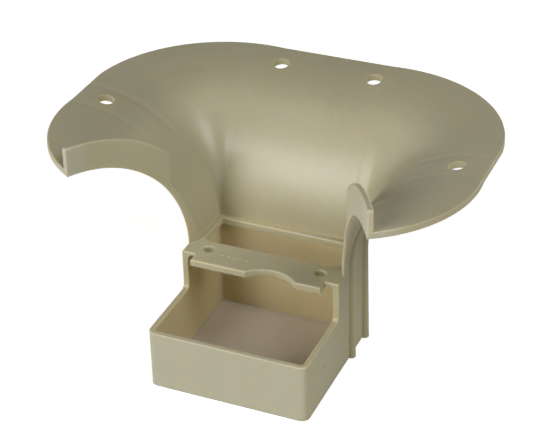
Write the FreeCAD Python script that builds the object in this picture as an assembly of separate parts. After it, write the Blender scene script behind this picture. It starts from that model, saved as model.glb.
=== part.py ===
import FreeCAD, Part
import math
import os

from FreeCAD import Vector

# A one-piece moulded fitting for the head of a square service pole. A square sleeve slips over the
# pole, a bridge and a lip stop it on the pole's end, and a flare leads cables down into the pole.
# Millimetres. The origin is on the pole's axis, level with the sleeve's lower rim. +Z is up, and
# the low, open side of the sleeve faces -Y. The bridge's notch is to the +X side of the middle.

# Sleeve
SLEEVE_WIDTH = 60.0         # outside, left to right
SLEEVE_DEPTH = 60.0         # outside, front to back
WALL = 2.2                  # sleeve walls and flare alike
CORNER_RADIUS = 3.0         # upright outside corners
FRONT_HEIGHT = 22.5         # front wall, and the side walls as far back as the step
STEP_FROM_REAR = 29.9       # rear face to the upright step in each side wall
STEP_FILLET = 2.0           # foot of the step
RIM_ROUNDING = 0.35         # edges of the low walls' rim

# Bridge and lip, one plate across the sleeve
BRIDGE_TOP = 38.1           # height of the plate's upper face, where the flare starts
BRIDGE_THICKNESS = 2.5
BRIDGE_DEPTH = 9.7          # step to the bridge's rear edge
TONGUE_REACH = 4.3          # how far the tongue stands forward of the step
TONGUE_INSET = 5.3          # outside face of the sleeve to the end of the tongue
END_THICKNESS = 1.3         # the bridge between the tongue and a side wall
END_FILLET = 2.0            # from there down to the side wall
LIP_WIDTH = 2.0             # how far the lip stands in from the walls
OPENING_RADIUS = 3.0        # front corners of the opening behind the bridge
OPENING_REAR_RADIUS = 0.8   # rear corners of the same opening
PLATE_ROUNDING = 0.6        # upper edges of the tongue, the step and the opening
NOTCH_OFFSET = 5.75         # middle of the sleeve to the middle of the notch
NOTCH_RADIUS = 12.6         # clearance for a round connector
NOTCH_DEPTH = 4.2
SCREW_HOLE_DIAMETER = 4.0
SCREW_INSET = 8.6           # outside face of the sleeve to the hole
SCREW_SETBACK = 4.4         # step to the hole
SCREW_CHAMFER = 0.3

# Row of plain raised pips on the bridge
PIP_COUNT = 5
PIP_DIAMETER = 1.3
PIP_HEIGHT = 0.3
PIP_ROUNDING = 0.2
PIP_SPACING = 2.3
PIP_FROM_SCREW = 11.0       # left-hand screw hole to the middle of the row
PIP_SETBACK = 2.6           # step to the row

# Flare: a quarter round that leads out to a narrow flat rim
FLARE_RADIUS = 44.3         # underside
RIM_THICKNESS = 2.5         # the flare's thickness at its rim
RIM_FLAT = 2.4              # level stretch from the end of the quarter round to the rim
FLARE_SETBACK = 6.1         # step to the axis that each front lobe turns about
FRONT_CORNER_RADIUS = 0.8   # outside corner at the flare's front edge
FRONT_ANGLE = 60.0          # how far each front lobe turns towards the front
RIM_INSET = 0.3             # straight stretches of the rim lie this far inside the lobes' circles
RIM_BLEND = 6.0             # where a straight stretch meets a lobe
RIM_EDGE_ROUNDING = 0.4

# Upstand along the front edge of each front lobe
UPSTAND_HEIGHT = 8.0        # above the flare's upper surface
UPSTAND_THICKNESS = 2.0
UPSTAND_START = 6.4         # throat corner to the upstand's upright inner end
UPSTAND_CORNER = 3.0        # radius at the top of the inner end
UPSTAND_END_CORNER = 1.0    # radius at the top of the outer end
UPSTAND_ROUNDING = 0.45

# Ribs up the outside of each side wall and out under the flare
RIB_WIDTH = 3.2
RIB_HEIGHT = 1.3            # at the flare
RIB_FOOT_HEIGHT = 2.0       # at the sleeve's lower rim
RIB_SETBACK = 5.7           # axis of the front lobe to the front rib
RIB_REACH_ANGLE = 78.0      # how far round the quarter round each rib runs

# Screw holes near the flare's rim
FLANGE_HOLE_DIAMETER = 6.0
HOLE_FROM_RIM = 11.1        # the side holes are midway along the straight sides
REAR_HOLE_INSET = 11.8      # outside face of the sleeve to the rear hole

# Sizes that follow from those above
UP = Vector(0, 0, 1)
HALF_WIDTH = SLEEVE_WIDTH / 2
HALF_DEPTH = SLEEVE_DEPTH / 2
STEP_Y = HALF_DEPTH - STEP_FROM_REAR
BRIDGE_REAR_Y = STEP_Y + BRIDGE_DEPTH
BRIDGE_UNDERSIDE = BRIDGE_TOP - BRIDGE_THICKNESS
TONGUE_FRONT_Y = STEP_Y - TONGUE_REACH
FLARE_FRONT_Y = STEP_Y + FLARE_SETBACK
FLARE_REAR_Y = HALF_DEPTH - CORNER_RADIUS
FRONT_AXIS_X = HALF_WIDTH - FRONT_CORNER_RADIUS
REAR_AXIS_X = HALF_WIDTH - CORNER_RADIUS
FLARE_REACH = FLARE_RADIUS + RIM_FLAT   # outside face of the sleeve to the rim, at the lobes
UPPER_RADIUS = FLARE_RADIUS + RIM_THICKNESS
UPPER_CENTRE = UPPER_RADIUS - WALL      # out from the sleeve's outside face
FLANGE_UNDERSIDE = BRIDGE_TOP + FLARE_RADIUS
FLANGE_TOP = BRIDGE_TOP + UPPER_RADIUS
UPSTAND_RADIUS = UPPER_RADIUS + UPSTAND_HEIGHT
OVERSIZE = 2.0              # how far cutting bodies stand clear of what they cut
EMBED = WALL / 2            # how far added bodies reach into the wall they join


def upright_edges(shape):
    return [edge for edge in shape.Edges if abs(edge.tangentAt(edge.FirstParameter).z) > 0.999]


def block(x_low, x_high, y_low, y_high, z_low, z_high):
    size = Vector(x_high - x_low, y_high - y_low, z_high - z_low)
    return Part.makeBox(size.x, size.y, size.z, Vector(x_low, y_low, z_low))


def rounded_block(x_half, y_low, y_high, z_low, z_high, radius):
    body = block(-x_half, x_half, y_low, y_high, z_low, z_high)
    return body.makeFillet(radius, upright_edges(body))


def upright_cylinder(x, y, diameter, z_low, z_high):
    return Part.makeCylinder(diameter / 2, z_high - z_low, Vector(x, y, z_low))


def both_sides(shape):
    return [shape, shape.mirror(Vector(0, 0, 0), Vector(1, 0, 0))]


def arc(start, middle, end):
    return Part.Arc(start, middle, end).toShape()


def step_cutter():
    """The space above the low walls, with a rounded foot at the step, as a profile run across."""
    front = -HALF_DEPTH - OVERSIZE
    top = BRIDGE_TOP + OVERSIZE
    foot = Vector(0, STEP_Y - STEP_FILLET, FRONT_HEIGHT)
    rise = Vector(0, STEP_Y, FRONT_HEIGHT + STEP_FILLET)
    slack = STEP_FILLET * (1 - math.sqrt(0.5))
    bend = Vector(0, STEP_Y - slack, FRONT_HEIGHT + slack)
    low_front = Vector(0, front, FRONT_HEIGHT)
    high_front = Vector(0, front, top)
    high_step = Vector(0, STEP_Y, top)
    edges = [
        Part.makeLine(low_front, foot),
        arc(foot, bend, rise),
        Part.makeLine(rise, high_step),
        Part.makeLine(high_step, high_front),
        Part.makeLine(high_front, low_front),
    ]
    profile = Part.Face(Part.Wire(edges))
    profile.translate(Vector(-HALF_WIDTH - OVERSIZE, 0, 0))
    return profile.extrude(Vector(SLEEVE_WIDTH + 2 * OVERSIZE, 0, 0))


def sleeve():
    outside = rounded_block(HALF_WIDTH, -HALF_DEPTH, HALF_DEPTH, 0, BRIDGE_TOP, CORNER_RADIUS)
    inside = rounded_block(
        HALF_WIDTH - WALL, -HALF_DEPTH + WALL, HALF_DEPTH - WALL,
        -OVERSIZE, BRIDGE_TOP + OVERSIZE, CORNER_RADIUS - WALL)
    body = outside.cut(inside).cut(step_cutter())
    rim = []
    for edge in body.Edges:
        box = edge.BoundBox
        level = abs(box.ZMin - FRONT_HEIGHT) < 1e-6 and abs(box.ZMax - FRONT_HEIGHT) < 1e-6
        if level and box.YMax < STEP_Y - STEP_FILLET / 2:
            rim.append(edge)
    return body.makeFillet(RIM_ROUNDING, rim)


def end_relief():
    """Space under the right-hand end of the bridge, beside the tongue, with a fillet at the wall."""
    wall_x = HALF_WIDTH - WALL
    ceiling = BRIDGE_TOP - END_THICKNESS
    body = block(HALF_WIDTH - TONGUE_INSET, wall_x, STEP_Y - OVERSIZE, BRIDGE_REAR_Y - LIP_WIDTH,
                 ceiling - END_FILLET - OVERSIZE, ceiling)
    corner = []
    for edge in body.Edges:
        box = edge.BoundBox
        if box.XMin > wall_x - 1e-6 and box.ZMin > ceiling - 1e-6:
            corner.append(edge)
    return body.makeFillet(END_FILLET, corner)


def end_gusset():
    """Solid corner between the right-hand end of the bridge and the wall, before it is relieved."""
    wall_x = HALF_WIDTH - WALL
    ceiling = BRIDGE_TOP - END_THICKNESS
    return block(wall_x - END_FILLET, wall_x + EMBED, STEP_Y, BRIDGE_REAR_Y - LIP_WIDTH,
                 ceiling - END_FILLET, ceiling)


def plate():
    """The bridge with its tongue, and the lip that runs on round the other three walls."""
    inner_half = HALF_WIDTH - WALL - LIP_WIDTH
    inner_rear = HALF_DEPTH - WALL - LIP_WIDTH
    across = block(-HALF_WIDTH + EMBED, HALF_WIDTH - EMBED, STEP_Y, HALF_DEPTH - EMBED,
                   BRIDGE_UNDERSIDE, BRIDGE_TOP)
    tongue_half = HALF_WIDTH - TONGUE_INSET
    tongue = block(-tongue_half, tongue_half, TONGUE_FRONT_Y, STEP_Y, BRIDGE_UNDERSIDE, BRIDGE_TOP)
    opening = block(-inner_half, inner_half, BRIDGE_REAR_Y, inner_rear,
                    BRIDGE_UNDERSIDE - OVERSIZE, BRIDGE_TOP + OVERSIZE)
    corners = upright_edges(opening)
    front_corners = [edge for edge in corners if edge.BoundBox.YMin < BRIDGE_REAR_Y + 1e-6]
    opening = opening.makeFillet(OPENING_RADIUS, front_corners)
    corners = upright_edges(opening)
    rear_corners = [edge for edge in corners if edge.BoundBox.YMin > inner_rear - 1e-6]
    opening = opening.makeFillet(OPENING_REAR_RADIUS, rear_corners)
    notch_y = TONGUE_FRONT_Y + NOTCH_DEPTH - NOTCH_RADIUS
    notch = upright_cylinder(NOTCH_OFFSET, notch_y, 2 * NOTCH_RADIUS,
                             BRIDGE_UNDERSIDE - OVERSIZE, BRIDGE_TOP + OVERSIZE)
    body = across.fuse([tongue] + both_sides(end_gusset())).removeSplitter()
    return body.cut([opening, notch] + both_sides(end_relief()))


def sleeve_with_plate():
    """Sleeve and plate as one, with the plate's upper edges rounded where they are in the open."""
    body = sleeve().fuse(plate()).removeSplitter()
    margin = LIP_WIDTH / 2
    upper = []
    for edge in body.Edges:
        box = edge.BoundBox
        level = abs(box.ZMin - BRIDGE_TOP) < 1e-6
        across = max(box.XMax, -box.XMin)
        on_front = box.YMax < STEP_Y + margin
        at_opening = box.YMin > BRIDGE_REAR_Y - margin and box.YMax < HALF_DEPTH - WALL - margin
        if level and (on_front or at_opening and across < HALF_WIDTH - WALL - margin):
            upper.append(edge)
    return body.makeFillet(PLATE_ROUNDING, upper)


def pips():
    """Raised pips on the bridge, in a row to the left of the middle."""
    row = []
    y = STEP_Y + PIP_SETBACK
    middle = -HALF_WIDTH + SCREW_INSET + PIP_FROM_SCREW
    for index in range(PIP_COUNT):
        x = middle + (index - (PIP_COUNT - 1) / 2) * PIP_SPACING
        pip = upright_cylinder(x, y, PIP_DIAMETER, BRIDGE_TOP - EMBED, BRIDGE_TOP + PIP_HEIGHT)
        top = [edge for edge in pip.Edges if edge.BoundBox.ZMin > BRIDGE_TOP]
        row.append(pip.makeFillet(PIP_ROUNDING, top))
    return row


def bend_point(centre, radius, turn):
    """Point on a bend of the flare: turn is measured round from level with the bend's centre."""
    return Vector(centre - radius * math.cos(turn), 0, BRIDGE_TOP + radius * math.sin(turn))


def flare_section(axis_distance):
    """Section of the flare in the XZ plane: X is the distance out from the sleeve's outside face."""
    inner = -min(WALL, axis_distance)
    quarter = math.pi / 2
    first_turn = math.acos((UPPER_CENTRE - inner) / UPPER_RADIUS)
    reach = FLARE_REACH + OVERSIZE
    start = bend_point(FLARE_RADIUS, FLARE_RADIUS, 0)
    under_middle = bend_point(FLARE_RADIUS, FLARE_RADIUS, quarter / 2)
    crown = bend_point(FLARE_RADIUS, FLARE_RADIUS, quarter)
    rim_low = Vector(reach, 0, FLANGE_UNDERSIDE)
    rim_high = Vector(reach, 0, FLANGE_TOP)
    crown_high = bend_point(UPPER_CENTRE, UPPER_RADIUS, quarter)
    upper_middle = bend_point(UPPER_CENTRE, UPPER_RADIUS, (first_turn + quarter) / 2)
    throat_high = bend_point(UPPER_CENTRE, UPPER_RADIUS, first_turn)
    throat_low = Vector(inner, 0, BRIDGE_TOP)
    edges = [
        arc(start, under_middle, crown),
        Part.makeLine(crown, rim_low),
        Part.makeLine(rim_low, rim_high),
        Part.makeLine(rim_high, crown_high),
        arc(crown_high, upper_middle, throat_high),
    ]
    if axis_distance < WALL:
        edges.append(Part.makeLine(throat_high, throat_low))
    edges.append(Part.makeLine(throat_low, start))
    return Part.Face(Part.Wire(edges))


def flare_side():
    """Right half of the flare: straight side, half of the rear, and the two lobes that turn."""
    section = flare_section(WALL)
    side = section.copy()
    side.translate(Vector(HALF_WIDTH, FLARE_FRONT_Y, 0))
    side = side.extrude(Vector(0, FLARE_REAR_Y - FLARE_FRONT_Y, 0))

    rear_lobe = section.copy()
    rear_lobe.translate(Vector(HALF_WIDTH, FLARE_REAR_Y, 0))
    rear = rear_lobe.copy()
    rear_axis = Vector(REAR_AXIS_X, FLARE_REAR_Y, 0)
    rear_lobe = rear_lobe.revolve(rear_axis, UP, 90)
    rear.rotate(rear_axis, UP, 90)
    rear = rear.extrude(Vector(-REAR_AXIS_X, 0, 0))

    front_lobe = flare_section(FRONT_CORNER_RADIUS)
    front_lobe.translate(Vector(HALF_WIDTH, FLARE_FRONT_Y, 0))
    front_lobe = front_lobe.revolve(Vector(FRONT_AXIS_X, FLARE_FRONT_Y, 0), UP, -FRONT_ANGLE)
    return side.fuse([rear_lobe, rear, front_lobe]).removeSplitter()


def to_front_edge(shape):
    """Carry a shape from the XZ plane of the front lobe's start to the lobe's front edge."""
    shape.translate(Vector(HALF_WIDTH, FLARE_FRONT_Y, 0))
    shape.rotate(Vector(FRONT_AXIS_X, FLARE_FRONT_Y, 0), UP, -FRONT_ANGLE)
    return shape


def front_cutter():
    """Space ahead of the right front edge, which trims the throat wall in the upstand's plane."""
    body = block(-FRONT_CORNER_RADIUS - WALL * 4, -FRONT_CORNER_RADIUS + FLARE_REACH + WALL * 4,
                 -WALL * 4, 0, BRIDGE_TOP, UPSTAND_RADIUS + BRIDGE_TOP)
    return to_front_edge(body)


def crosswise_edges(shape, point):
    """Edges of a plate that run through its thickness at one point of its outline."""
    found = []
    for edge in shape.Edges:
        middle = edge.valueAt((edge.FirstParameter + edge.LastParameter) / 2)
        if math.hypot(middle.x - point.x, middle.z - point.z) < 1e-6:
            found.append(edge)
    return found


def upstand():
    """Right upstand, standing on the lobe's front edge with its top concentric with the flare."""
    quarter = math.pi / 2
    low_radius = UPPER_RADIUS - RIM_THICKNESS / 2
    run = UPPER_CENTRE - UPSTAND_START
    low_turn = math.acos(run / low_radius)
    top_turn = math.acos(run / UPSTAND_RADIUS)
    inner_low = bend_point(UPPER_CENTRE, low_radius, low_turn)
    inner_high = bend_point(UPPER_CENTRE, UPSTAND_RADIUS, top_turn)
    top_middle = bend_point(UPPER_CENTRE, UPSTAND_RADIUS, (top_turn + quarter) / 2)
    top_crown = bend_point(UPPER_CENTRE, UPSTAND_RADIUS, quarter)
    top_end = Vector(FLARE_REACH, 0, top_crown.z)
    low_crown = bend_point(UPPER_CENTRE, low_radius, quarter)
    low_end = Vector(FLARE_REACH, 0, low_crown.z)
    low_middle = bend_point(UPPER_CENTRE, low_radius, (low_turn + quarter) / 2)
    edges = [
        Part.makeLine(inner_low, inner_high),
        arc(inner_high, top_middle, top_crown),
        Part.makeLine(top_crown, top_end),
        Part.makeLine(top_end, low_end),
        Part.makeLine(low_end, low_crown),
        arc(low_crown, low_middle, inner_low),
    ]
    body = Part.Face(Part.Wire(edges)).extrude(Vector(0, UPSTAND_THICKNESS, 0))
    body = body.makeFillet(UPSTAND_CORNER, crosswise_edges(body, inner_high))
    body = body.makeFillet(UPSTAND_END_CORNER, crosswise_edges(body, top_end))
    long_edges = []
    for edge in body.Edges:
        box = edge.BoundBox
        middle = edge.valueAt((edge.FirstParameter + edge.LastParameter) / 2)
        from_centre = math.hypot(middle.x - UPPER_CENTRE, middle.z - BRIDGE_TOP)
        lower = middle.z < low_crown.z + 1e-6 and from_centre < low_radius + 1e-6
        if box.YLength < 1e-6 and not lower:
            long_edges.append(edge)
    return to_front_edge(body.makeFillet(UPSTAND_ROUNDING, long_edges))


def rib_outline(y, height, z):
    """Outline of a rib's section: straight flanks and a fully rounded nose."""
    nose = RIB_WIDTH / 2
    root = HALF_WIDTH - EMBED
    shoulder = HALF_WIDTH + height - nose
    front_root = Vector(root, y - nose, z)
    front_shoulder = Vector(shoulder, y - nose, z)
    rear_shoulder = Vector(shoulder, y + nose, z)
    rear_root = Vector(root, y + nose, z)
    return Part.Wire([
        Part.makeLine(front_root, front_shoulder),
        arc(front_shoulder, Vector(HALF_WIDTH + height, y, z), rear_shoulder),
        Part.makeLine(rear_shoulder, rear_root),
        Part.makeLine(rear_root, front_root),
    ])


def rib(y):
    """Right-hand rib: it deepens a little down the wall, and above it runs round under the flare."""
    top = rib_outline(y, RIB_HEIGHT, BRIDGE_TOP)
    upright = Part.makeLoft([rib_outline(y, RIB_FOOT_HEIGHT, 0), top], True, True)
    centre = Vector(HALF_WIDTH + FLARE_RADIUS, 0, BRIDGE_TOP)
    bend = Part.Face(top).revolve(centre, Vector(0, 1, 0), RIB_REACH_ANGLE)
    return upright.fuse(bend)


def outline():
    """Plan of the rim as an upright prism. The front lobes swell past the straight sides, and the
    rear lobes swell past the straight rear and are trimmed flush with the sides."""
    low = BRIDGE_TOP - OVERSIZE
    high = BRIDGE_TOP + UPSTAND_RADIUS + OVERSIZE
    side = HALF_WIDTH + FLARE_REACH - RIM_INSET
    rear = HALF_DEPTH + FLARE_REACH - RIM_INSET
    front_diameter = 2 * (FLARE_REACH + FRONT_CORNER_RADIUS)
    rear_diameter = 2 * (FLARE_REACH + CORNER_RADIUS)
    front_lobe = upright_cylinder(FRONT_AXIS_X, FLARE_FRONT_Y, front_diameter, low, high)
    rear_lobe = upright_cylinder(REAR_AXIS_X, FLARE_REAR_Y, rear_diameter, low, high)
    back = block(-REAR_AXIS_X, REAR_AXIS_X, FLARE_FRONT_Y, rear, low, high).fuse(both_sides(rear_lobe))
    sides = block(-side, side, FLARE_FRONT_Y, HALF_DEPTH + rear_diameter, low, high)
    straight = block(-side, side, FLARE_FRONT_Y, FLARE_REAR_Y, low, high)
    body = back.common(sides).fuse([straight] + both_sides(front_lobe)).removeSplitter()
    meetings = []
    for edge in upright_edges(body):
        box = edge.BoundBox
        on_side = abs(box.XMin) > side - 1e-6 and box.YMin > FLARE_FRONT_Y + 1
        on_rear = box.YMin > rear - 1e-6 and abs(box.XMin) < REAR_AXIS_X - 1
        if on_side or on_rear:
            meetings.append(edge)
    return body.makeFillet(RIM_BLEND, meetings)


def flange_holes():
    low = FLANGE_UNDERSIDE - FLARE_RADIUS / 2
    high = FLANGE_TOP + OVERSIZE
    reach = FLARE_REACH - HOLE_FROM_RIM
    side_y = (FLARE_FRONT_Y + FLARE_REAR_Y) / 2
    side = upright_cylinder(HALF_WIDTH + reach, side_y, FLANGE_HOLE_DIAMETER, low, high)
    rear_x = HALF_WIDTH - REAR_HOLE_INSET
    rear = upright_cylinder(rear_x, HALF_DEPTH + reach, FLANGE_HOLE_DIAMETER, low, high)
    return both_sides(side) + both_sides(rear)


def screw_holes():
    x = HALF_WIDTH - SCREW_INSET
    y = STEP_Y + SCREW_SETBACK
    radius = SCREW_HOLE_DIAMETER / 2
    bore = upright_cylinder(x, y, SCREW_HOLE_DIAMETER, BRIDGE_UNDERSIDE - OVERSIZE, BRIDGE_TOP + OVERSIZE)
    mouth_foot = Vector(x, y, BRIDGE_TOP - SCREW_CHAMFER)
    mouth = Part.makeCone(radius, radius + SCREW_CHAMFER, SCREW_CHAMFER, mouth_foot)
    return both_sides(bore.fuse(mouth))


def rim_edges(shape):
    """Upper and lower edges of the flare's rim, from one front edge round to the other."""
    found = []
    for face in shape.Faces:
        box = face.BoundBox
        in_rim = box.ZMin > FLANGE_UNDERSIDE - 1e-6 and box.ZMax < FLANGE_TOP + 1e-6
        if in_rim and box.ZLength > RIM_THICKNESS - 1e-6:
            found += [edge for edge in face.Edges if edge.BoundBox.ZLength < 1e-6]
    return found


def flare():
    plan = outline()
    half = flare_side().cut(front_cutter())
    body = half.fuse(both_sides(half)[1]).removeSplitter().common(plan).removeSplitter()
    body = body.makeFillet(RIM_EDGE_ROUNDING, rim_edges(body))
    return body.fuse(both_sides(upstand().common(plan))).removeSplitter()


def fitting():
    front_rib = rib(FLARE_FRONT_Y + RIB_SETBACK)
    rear_rib = rib(FLARE_REAR_Y - RIB_WIDTH / 2)
    ribs = both_sides(front_rib) + both_sides(rear_rib)
    body = sleeve_with_plate().fuse([flare()] + ribs).removeSplitter()
    return body.cut(flange_holes() + screw_holes()).fuse(pips())


os.makedirs("parts", exist_ok=True)
shape = fitting()
shape.exportStep("parts/entrance_fitting.step")
print("solids", len(shape.Solids), "valid", shape.isValid(), "volume", round(shape.Volume, 1))
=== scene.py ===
import math

import bpy
from mathutils import Matrix, Vector

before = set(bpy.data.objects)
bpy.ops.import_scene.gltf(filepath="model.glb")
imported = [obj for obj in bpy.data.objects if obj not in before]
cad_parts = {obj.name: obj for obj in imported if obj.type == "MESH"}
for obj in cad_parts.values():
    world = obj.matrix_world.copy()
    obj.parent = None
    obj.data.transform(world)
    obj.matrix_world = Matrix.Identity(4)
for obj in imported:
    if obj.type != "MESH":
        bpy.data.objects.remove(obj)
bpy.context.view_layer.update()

# Camera that fits the photograph, in metres, degrees and pixels of the photograph
AIM = Vector((-0.000324, 0.015263, 0.048000))
DISTANCE = 0.602251
AZIMUTH = 23.7326
ELEVATION = 31.7398
ROLL = -1.2564
FOCAL_PIXELS = 1700.0
IMAGE_WIDTH = 549
SENSOR_WIDTH = 36.0             # millimetres
NEAREST = 0.01                  # the camera shows nothing nearer than this

# Soft boxes: name, place, width, height, watts. Each one faces the fitting.
SUBJECT = Vector((0.0, 0.015, 0.050))
SOFT_BOXES = [
    ("key", (-0.38, -0.79, 0.70), 0.40, 0.40, 2.20),
    ("key_low", (-0.44, -0.93, 0.41), 0.45, 0.45, 4.55),
    ("front_low", (-0.26, -1.04, 0.20), 0.45, 0.36, 0.85),
    ("front_right", (0.71, -0.42, 0.74), 0.50, 0.50, 2.65),
    ("right", (0.71, -0.11, 0.89), 0.45, 0.45, 2.90),
    ("back", (0.00, 1.10, 0.16), 0.60, 0.25, 3.00),
]

# World
WHITE = (1.0, 1.0, 1.0, 1.0)
AMBIENT = 0.015                 # strength of the light from all round
WHITE_STRENGTH = 1.0            # strength at which the world looks plain white

# Floor
ORIGIN = (0.0, 0.0, 0.0)
FLOOR_SIZE = 6.0
FLOOR_DROP = 0.0002             # keeps the floor just clear of the sleeve's rim
FLOOR_COLOUR = (0.70, 0.70, 0.70, 1.0)
INSIDE_COLOUR = (0.70, 0.62, 0.52, 1.0)     # the floor seen inside the sleeve
FLOOR_ROUGHNESS = 0.9
FLOOR_SPECULAR = 0.0
FLOOR_GLOW = (0.78, 1.0)        # what is seen of the floor beyond its lit colour, near and far
GLOW_DISTANCE = (0.25, 1.5)     # near and far, from the origin

# Where the sleeve's inside ends, each from the first sign of the change to its end
SLEEVE_HALF = (0.0278, 0.0286)  # half its width, within its walls
SLEEVE_TOP = (0.0340, 0.0356)   # its height, just below the bridge

# Colour of the ivory plastic. Lengths are in metres and texture scales in cells per metre.
IVORY = (0.514, 0.474, 0.314, 1.0)
PAINTED_FRONT_SHEEN = (0.535, 0.506, 0.374, 1.0)   # painted sheen: paler, less yellow ivory on the front face, standing in for the front lamps' sheen
PAINTED_WARM_SHADE = (0.630, 0.548, 0.318, 1.0)  # painted warm shade: deeper, warmer ivory inside the sleeve and in inner corners, standing in for light bounced in their shade
BROWN = (0.14, 0.09, 0.05, 1.0)         # specks and blemishes
FRONT_Y = (-0.0300, -0.0275)    # from the front face, which has the painted sheen, to behind its corners
CREASE_REACH = 0.0020           # how far from a face its neighbours count
CREASE_SAMPLES = 8
CREASE_OPEN = (0.55, 0.85)      # how open a place is, from an inner corner to clear of it
NOISE_RANGE = (0.3, 0.7)        # where most of a noise texture's values lie
CLOUD_SCALE = 38.0
CLOUD_DETAIL = 3.0
CLOUD_TONE = (0.985, 1.015)
STREAK_SCALE = 260.0
STREAK_DETAIL = 2.0
STREAK_STRETCH = (1.0, 1.0, 0.05)   # share of the scale on each axis: long along the mould's draw
STREAK_TONE = (0.994, 1.006)
SPECK_SCALE = 90.0
SPECK_SIZE = 0.028              # in cells
SPECK_SHARE = 0.16              # how many cells have a speck

# Small marks on the front and right faces: place, radius, strength
BLEMISHES = [
    ((-0.0197, -0.0300, 0.0070), 0.00045, 0.13),
    ((-0.0076, -0.0300, 0.0067), 0.00045, 0.15),
    ((0.0020, -0.0300, 0.0093), 0.00040, 0.12),
    ((0.0078, -0.0300, 0.0112), 0.00040, 0.12),
    ((0.0215, -0.0300, 0.0091), 0.00060, 0.12),
    ((-0.0232, -0.0300, 0.0149), 0.00050, 0.12),
    ((0.0300, -0.0144, 0.0127), 0.00060, 0.24),
    ((0.0300, -0.0134, 0.0122), 0.00070, 0.28),
    ((0.0300, -0.0124, 0.0117), 0.00060, 0.24),
]

# Patches of the flare that cables have rubbed: place, radius
RUBBED = [
    ((0.0120, 0.0520, 0.0780), 0.0110),
    ((-0.0480, 0.0480, 0.0810), 0.0090),
]
RUB_SCALE = 420.0
RUB_DETAIL = 4.0
RUB_TONE = (0.955, 1.0)

# Gloss, by how a face lies. The ranges are parts of its normal: upward is 0 on an upright face and 1
# on a level one, and forward is 0 on a face that looks sideways.
ROUGHNESS = (0.28, 0.35)
DULL_GLOSS = 0.0                # upright faces
POLISHED_GLOSS = 0.40           # slopes, which cables slide over
SLOPE_UPWARD = (0.02, 0.30)     # from an upright face to a slope
SIDE_FORWARD = (0.05, 0.40)     # from a slope at the side to the throat
SIDE_GLOSS = 0.30               # share of the gloss left on slopes at the side
LEVEL_UPWARD = (0.74, 1.0)      # from a slope to a level face
LEVEL_GLOSS = 0.10              # share of the gloss left on level faces

# Painted shade: darker ivory on the level parts of the flare, well above the bridge
LEVEL_SHADE_HEIGHT = (0.045, 0.060)
LEVEL_SHADE_TONE = 0.85

# Fine relief, in metres
RELIEF_UNIT = 1.0               # the heights below need no scaling
GRAIN_SCALE = 1500.0            # cells per metre
GRAIN_DETAIL = 2.0
GRAIN_HEIGHT = 0.00003
SINK_LINES = (0.0098, 0.0234)   # where the dips over the ribs lie along Y
SINK_WIDTH = 0.0017
SINK_DEPTH = 0.00020
SINK_CENTRE_X = 0.005           # the dips run further in on the left
SINK_OFF_CENTRE = (0.041, 0.051)    # they deepen over this distance from that centre
SINK_HEIGHT = (0.060, 0.070)    # and over this height
SEAMS = (-0.0255, 0.0250)       # where the hairlines at the flare's corners lie along X
SEAM_WIDTH = 0.0008
SEAM_DEPTH = 0.00007
SEAM_Y = (0.029, 0.032)         # they start here, at the rear of the throat

# Light that scatters inside the plastic
SCATTER_WEIGHT = 1.0
SCATTER_RADIUS = (1.0, 0.72, 0.38)
SCATTER_SCALE = 0.0028


class Graph:
    """Short ways to add and join the nodes of one shader."""

    def __init__(self, owner):
        owner.use_nodes = True
        self.nodes = owner.node_tree.nodes
        self.links = owner.node_tree.links
        self.nodes.clear()

    def add(self, kind, **settings):
        node = self.nodes.new(kind)
        for name, value in settings.items():
            setattr(node, name, value)
        return node

    def join(self, source, target):
        """Links a socket to the target, or sets the target to a plain value."""
        if isinstance(source, bpy.types.NodeSocket):
            self.links.new(source, target)
        else:
            target.default_value = source

    def calc(self, operation, first, second=0.0):
        node = self.add("ShaderNodeMath", operation=operation)
        self.join(first, node.inputs[0])
        self.join(second, node.inputs[1])
        return node.outputs["Value"]

    def split(self, vector):
        node = self.add("ShaderNodeSeparateXYZ")
        self.join(vector, node.inputs["Vector"])
        return node.outputs

    def mix(self, factor, first, second):
        node = self.add("ShaderNodeMix", data_type="RGBA")
        self.join(factor, node.inputs["Factor"])
        self.join(first, node.inputs["A"])
        self.join(second, node.inputs["B"])
        return node.outputs["Result"]

    def ramp(self, value, low, high, start=0.0, end=1.0):
        """Smooth change from start to end as the value goes from low to high."""
        node = self.add("ShaderNodeMapRange", interpolation_type="SMOOTHSTEP")
        self.join(value, node.inputs["Value"])
        node.inputs["From Min"].default_value = low
        node.inputs["From Max"].default_value = high
        node.inputs["To Min"].default_value = start
        node.inputs["To Max"].default_value = end
        return node.outputs["Result"]

    def noise(self, place, scale, detail):
        node = self.add("ShaderNodeTexNoise")
        self.join(place, node.inputs["Vector"])
        node.inputs["Scale"].default_value = scale
        node.inputs["Detail"].default_value = detail
        return node.outputs["Fac"]

    def spread(self, noise, ends):
        """Noise stretched so that it covers the range between two ends."""
        return self.ramp(noise, *NOISE_RANGE, *ends)

    def distance(self, place, centre):
        node = self.add("ShaderNodeVectorMath", operation="DISTANCE")
        self.join(place, node.inputs[0])
        node.inputs[1].default_value = centre
        return node.outputs["Value"]

    def groove(self, along, middles, width):
        """Bell-shaped lines, 1 deep, where a coordinate is at one of the middles."""
        total = 0.0
        for middle in middles:
            off = self.calc("DIVIDE", self.calc("SUBTRACT", along, middle), width)
            squared = self.calc("POWER", off, 2.0)
            line = self.calc("POWER", math.e, self.calc("MULTIPLY", squared, -1.0))
            total = self.calc("ADD", line, total)
        return total


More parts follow.
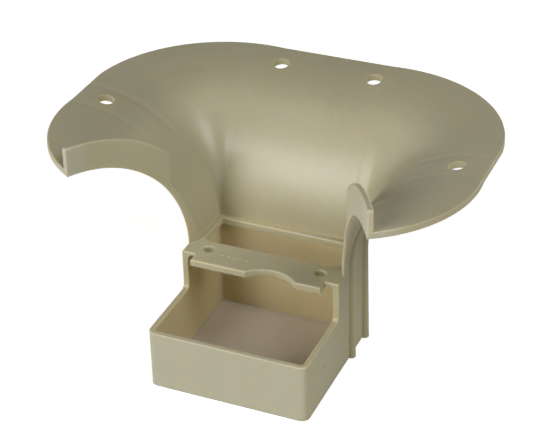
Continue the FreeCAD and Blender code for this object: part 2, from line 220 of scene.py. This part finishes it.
def camera_matrix():
    """Camera turned about the aim point by azimuth and elevation, then rolled about its own axis."""
    azimuth = math.radians(AZIMUTH)
    elevation = math.radians(ELEVATION)
    roll = math.radians(ROLL)
    level = math.cos(elevation)
    back = Vector((math.sin(azimuth) * level, -math.cos(azimuth) * level, math.sin(elevation)))
    right = Vector((math.cos(azimuth), math.sin(azimuth), 0.0))
    up = back.cross(right)
    rolled_right = math.cos(roll) * right + math.sin(roll) * up
    rolled_up = math.cos(roll) * up - math.sin(roll) * right
    turn = Matrix((rolled_right, rolled_up, back)).transposed()
    return Matrix.Translation(AIM + back * DISTANCE) @ turn.to_4x4()


def add_camera():
    data = bpy.data.cameras.new("camera")
    data.sensor_fit = "HORIZONTAL"
    data.sensor_width = SENSOR_WIDTH
    data.lens = FOCAL_PIXELS / IMAGE_WIDTH * SENSOR_WIDTH
    data.clip_start = NEAREST
    camera = bpy.data.objects.new("camera", data)
    camera.matrix_world = camera_matrix()
    bpy.context.scene.collection.objects.link(camera)
    bpy.context.scene.camera = camera


def add_soft_box(name, place, width, height, watts):
    data = bpy.data.lights.new(name, "AREA")
    data.shape = "RECTANGLE"
    data.size = width
    data.size_y = height
    data.energy = watts
    lamp = bpy.data.objects.new(name, data)
    lamp.location = place
    lamp.rotation_euler = (SUBJECT - lamp.location).to_track_quat("-Z", "Y").to_euler()
    bpy.context.scene.collection.objects.link(lamp)


def seen_directly(graph):
    """1 for rays from the camera and for those that a surface mirrors or lets through."""
    path = graph.add("ShaderNodeLightPath").outputs
    mirrored = graph.calc("MAXIMUM", path["Is Camera Ray"], path["Is Glossy Ray"])
    return graph.calc("MAXIMUM", mirrored, path["Is Transmission Ray"])


def background(graph, strength):
    node = graph.add("ShaderNodeBackground")
    node.inputs["Color"].default_value = WHITE
    node.inputs["Strength"].default_value = strength
    return node.outputs["Background"]


def add_world():
    """Weak light from all round, and plain white where the world itself is seen."""
    world = bpy.data.worlds.new("studio")
    bpy.context.scene.world = world
    graph = Graph(world)
    mix = graph.add("ShaderNodeMixShader")
    graph.join(seen_directly(graph), mix.inputs["Fac"])
    graph.join(background(graph, AMBIENT), mix.inputs[1])
    graph.join(background(graph, WHITE_STRENGTH), mix.inputs[2])
    output = graph.add("ShaderNodeOutputWorld")
    graph.join(mix.outputs["Shader"], output.inputs["Surface"])


def outside_sleeve(graph, place):
    """0 inside the sleeve and 1 beside or above it."""
    axes = graph.split(place)
    across = graph.calc("ABSOLUTE", axes["X"])
    along = graph.calc("ABSOLUTE", axes["Y"])
    beside = graph.ramp(graph.calc("MAXIMUM", across, along), *SLEEVE_HALF)
    above = graph.ramp(axes["Z"], *SLEEVE_TOP)
    return graph.calc("MAXIMUM", beside, above)


def floor_material():
    material = bpy.data.materials.new("floor")
    graph = Graph(material)
    place = graph.add("ShaderNodeTexCoord").outputs["Object"]
    outside = outside_sleeve(graph, place)
    seen = graph.calc("MULTIPLY", seen_directly(graph), outside)
    glow = graph.ramp(graph.distance(place, ORIGIN), *GLOW_DISTANCE, *FLOOR_GLOW)
    shader = graph.add("ShaderNodeBsdfPrincipled")
    graph.join(graph.mix(outside, INSIDE_COLOUR, FLOOR_COLOUR), shader.inputs["Base Color"])
    shader.inputs["Roughness"].default_value = FLOOR_ROUGHNESS
    shader.inputs["Specular IOR Level"].default_value = FLOOR_SPECULAR
    shader.inputs["Emission Color"].default_value = WHITE
    graph.join(graph.calc("MULTIPLY", seen, glow), shader.inputs["Emission Strength"])
    output = graph.add("ShaderNodeOutputMaterial")
    graph.join(shader.outputs["BSDF"], output.inputs["Surface"])
    return material


def add_floor():
    half = FLOOR_SIZE / 2
    mesh = bpy.data.meshes.new("floor")
    corners = [(-half, -half, 0.0), (half, -half, 0.0), (half, half, 0.0), (-half, half, 0.0)]
    mesh.from_pydata(corners, [], [(0, 1, 2, 3)])
    mesh.materials.append(floor_material())
    floor = bpy.data.objects.new("floor", mesh)
    floor.location.z = -FLOOR_DROP
    bpy.context.scene.collection.objects.link(floor)


def streaks(graph, place):
    """Faint marks where the plastic flowed, drawn out along Z."""
    stretch = graph.add("ShaderNodeVectorMath", operation="MULTIPLY")
    graph.join(place, stretch.inputs[0])
    stretch.inputs[1].default_value = STREAK_STRETCH
    return graph.noise(stretch.outputs["Vector"], STREAK_SCALE, STREAK_DETAIL)


def specks(graph, place):
    """Scattered brown dots, in a few of the cells of a cell pattern."""
    cells = graph.add("ShaderNodeTexVoronoi")
    graph.join(place, cells.inputs["Vector"])
    cells.inputs["Scale"].default_value = SPECK_SCALE
    dot = graph.ramp(cells.outputs["Distance"], SPECK_SIZE / 2, SPECK_SIZE, 1.0, 0.0)
    pick = graph.add("ShaderNodeSeparateColor")
    graph.join(cells.outputs["Color"], pick.inputs["Color"])
    chosen = graph.calc("LESS_THAN", pick.outputs["Red"], SPECK_SHARE)
    return graph.calc("MULTIPLY", graph.calc("MULTIPLY", dot, chosen), pick.outputs["Green"])


def blemishes(graph, place):
    """The few dots that can be seen on the sleeve, each at its own place."""
    total = 0.0
    for centre, radius, strength in BLEMISHES:
        dot = graph.ramp(graph.distance(place, centre), radius / 2, radius, strength, 0.0)
        total = graph.calc("MAXIMUM", dot, total)
    return total


def rubbing(graph, place):
    """Tone of the patches that cables have rubbed: 1 beyond them."""
    marks = graph.spread(graph.noise(place, RUB_SCALE, RUB_DETAIL), RUB_TONE)
    total = 0.0
    for centre, radius in RUBBED:
        patch = graph.ramp(graph.distance(place, centre), radius / 2, radius, 1.0, 0.0)
        total = graph.calc("MAXIMUM", patch, total)
    change = graph.calc("MULTIPLY", graph.calc("SUBTRACT", marks, 1.0), total)
    return graph.calc("ADD", change, 1.0)


def level_shade_mask(graph, axes, facing):
    """Mask of the painted shade: 1 on the level parts of the flare, and 0 on steeper or lower faces.
    """
    high = graph.ramp(axes["Z"], *LEVEL_SHADE_HEIGHT)
    return graph.calc("MULTIPLY", graph.ramp(facing["Z"], *LEVEL_UPWARD), high)


def crease_shade_mask(graph):
    """Mask of the painted warm shade: 1 in inner corners and 0 clear of them."""
    around = graph.add("ShaderNodeAmbientOcclusion", samples=CREASE_SAMPLES, only_local=True)
    around.inputs["Distance"].default_value = CREASE_REACH
    return graph.ramp(around.outputs["AO"], *CREASE_OPEN, 1.0, 0.0)


def plastic_base(graph, place, axes):
    """Ivory with a painted sheen on the front, and painted warm shade inside the sleeve and in inner
    corners.
    """
    # painted sheen on the front face
    front_sheen_share = graph.ramp(axes["Y"], *FRONT_Y, 1.0, 0.0)
    shown = graph.mix(front_sheen_share, IVORY, PAINTED_FRONT_SHEEN)
    # painted warm shade in inner corners and inside the sleeve
    open_parts = graph.mix(crease_shade_mask(graph), shown, PAINTED_WARM_SHADE)
    return graph.mix(outside_sleeve(graph, place), PAINTED_WARM_SHADE, open_parts)


def plastic_colour(graph, place, cloud, base, level_shade):
    """The base colour with its clouds, streaks, rubbed patches, painted shade on level faces, and
    spots.
    """
    tone = graph.calc("MULTIPLY", graph.spread(cloud, CLOUD_TONE), rubbing(graph, place))
    tone = graph.calc("MULTIPLY", tone, graph.spread(streaks(graph, place), STREAK_TONE))
    # painted shade: darker ivory on the level parts of the flare
    tone = graph.calc("MULTIPLY", tone, graph.ramp(level_shade, 0.0, 1.0, 1.0, LEVEL_SHADE_TONE))
    ivory = graph.add("ShaderNodeVectorMath", operation="SCALE")
    graph.join(base, ivory.inputs[0])
    graph.join(tone, ivory.inputs["Scale"])
    spots = graph.calc("MAXIMUM", specks(graph, place), blemishes(graph, place))
    return graph.mix(spots, ivory.outputs["Vector"], BROWN)


def plastic_gloss(graph, facing):
    """Polished on the slopes that face the front, and duller on all other faces."""
    sloping = graph.ramp(facing["Z"], *SLOPE_UPWARD, DULL_GLOSS, POLISHED_GLOSS)
    level = graph.ramp(facing["Z"], *LEVEL_UPWARD, 1.0, LEVEL_GLOSS)
    forward = graph.calc("MULTIPLY", facing["Y"], -1.0)
    turned = graph.ramp(forward, *SIDE_FORWARD, SIDE_GLOSS, 1.0)
    return graph.calc("MULTIPLY", graph.calc("MULTIPLY", sloping, level), turned)


def sink_lines(graph, axes):
    """Shallow dips in the flare's upper side over the ribs."""
    off = graph.calc("ABSOLUTE", graph.calc("SUBTRACT", axes["X"], SINK_CENTRE_X))
    out = graph.ramp(off, *SINK_OFF_CENTRE)
    up = graph.ramp(axes["Z"], *SINK_HEIGHT)
    where = graph.calc("MULTIPLY", out, up)
    dips = graph.groove(axes["Y"], SINK_LINES, SINK_WIDTH)
    return graph.calc("MULTIPLY", graph.calc("MULTIPLY", dips, where), -SINK_DEPTH)


def seams(graph, axes):
    """Hairlines up the flare where its rear part meets its corners."""
    where = graph.ramp(axes["Y"], *SEAM_Y)
    lines = graph.groove(axes["X"], SEAMS, SEAM_WIDTH)
    return graph.calc("MULTIPLY", graph.calc("MULTIPLY", lines, where), -SEAM_DEPTH)


def plastic_relief(graph, place, axes):
    """Normal of the surface with its grain, sink lines and seams."""
    grain = graph.calc("MULTIPLY", graph.noise(place, GRAIN_SCALE, GRAIN_DETAIL), GRAIN_HEIGHT)
    lines = graph.calc("ADD", sink_lines(graph, axes), seams(graph, axes))
    bump = graph.add("ShaderNodeBump")
    bump.inputs["Distance"].default_value = RELIEF_UNIT
    graph.join(graph.calc("ADD", grain, lines), bump.inputs["Height"])
    return bump.outputs["Normal"]


def ivory_plastic():
    material = bpy.data.materials.new("ivory_plastic")
    graph = Graph(material)
    place = graph.add("ShaderNodeTexCoord").outputs["Object"]
    facing = graph.split(graph.add("ShaderNodeNewGeometry").outputs["Normal"])
    axes = graph.split(place)
    # mask of the painted shade on the level parts of the flare
    level_shade = level_shade_mask(graph, axes, facing)
    base = plastic_base(graph, place, axes)
    cloud = graph.noise(place, CLOUD_SCALE, CLOUD_DETAIL)
    shader = graph.add("ShaderNodeBsdfPrincipled")
    graph.join(plastic_colour(graph, place, cloud, base, level_shade), shader.inputs["Base Color"])
    graph.join(graph.spread(cloud, ROUGHNESS), shader.inputs["Roughness"])
    graph.join(plastic_gloss(graph, facing), shader.inputs["Specular IOR Level"])
    graph.join(plastic_relief(graph, place, axes), shader.inputs["Normal"])
    shader.inputs["Subsurface Weight"].default_value = SCATTER_WEIGHT
    shader.inputs["Subsurface Radius"].default_value = SCATTER_RADIUS
    shader.inputs["Subsurface Scale"].default_value = SCATTER_SCALE
    output = graph.add("ShaderNodeOutputMaterial")
    graph.join(shader.outputs["BSDF"], output.inputs["Surface"])
    return material


def dress_fitting():
    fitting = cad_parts["entrance_fitting"]
    fitting.data.materials.clear()
    fitting.data.materials.append(ivory_plastic())


bpy.context.scene.view_settings.view_transform = "Standard"
add_camera()
add_world()
for soft_box in SOFT_BOXES:
    add_soft_box(*soft_box)
add_floor()
dress_fitting()
